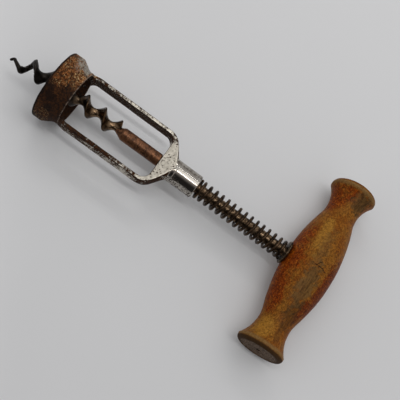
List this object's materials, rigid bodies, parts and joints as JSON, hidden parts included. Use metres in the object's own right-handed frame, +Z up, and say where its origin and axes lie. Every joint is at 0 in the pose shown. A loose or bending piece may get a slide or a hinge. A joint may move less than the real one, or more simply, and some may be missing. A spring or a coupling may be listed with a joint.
{
  "type": "spring corkscrew",
  "caption": "Open-frame spring corkscrew: bell collar, strap cage and neck, coil spring round a turning shank, worm and turned wooden T-handle.",
  "frame": {"origin": "on the table, under the middle of the tool's length and breadth, as it lies", "axes": "+X along the lying shank from the collar towards the handle, +Y along the wooden handle, +Z up from the table; the shank leans down towards the handle by the lean that lets the collar's lip and the handle's belly touch the table"},
  "size_m": [0.1866, 0.0956, 0.0356],
  "materials": {
    "rusted_iron": "dark rusted iron with worn high spots",
    "worn_nickel": "worn nickel plate, pitted and rust-stained",
    "bright_nickel": "polished nickel plate with fine scratches",
    "dark_spring_steel": "dark tarnished spring steel",
    "browned_steel": "brown-patinated steel",
    "varnished_wood": "orange-brown varnish, worn and blotched"
  },
  "bodies": {
    "frame": {"collar": "rusted_iron", "cage": "worn_nickel", "neck_sleeve": "bright_nickel", "spring": "dark_spring_steel"},
    "follower": {"thrust_washer": "worn_nickel"},
    "screw": {"spindle": "browned_steel", "worm": "browned_steel", "handle": "varnished_wood", "rove": "browned_steel"}
  },
  "joints": [
    {"name": "plunge", "type": "slide", "parent": "frame", "child": "follower", "axis": [-0.9995, 0, 0.0318], "range_m": [0, 0.028], "stiffness_N_per_m": 4000, "springref_m": -0.004, "deforming": ["spring"]},
    {"name": "turn", "type": "hinge", "parent": "follower", "child": "screw", "pos_m": [0.06706, -0.0008, 0.01357], "axis": [0.9995, 0, -0.0318], "continuous": true}
  ]
}
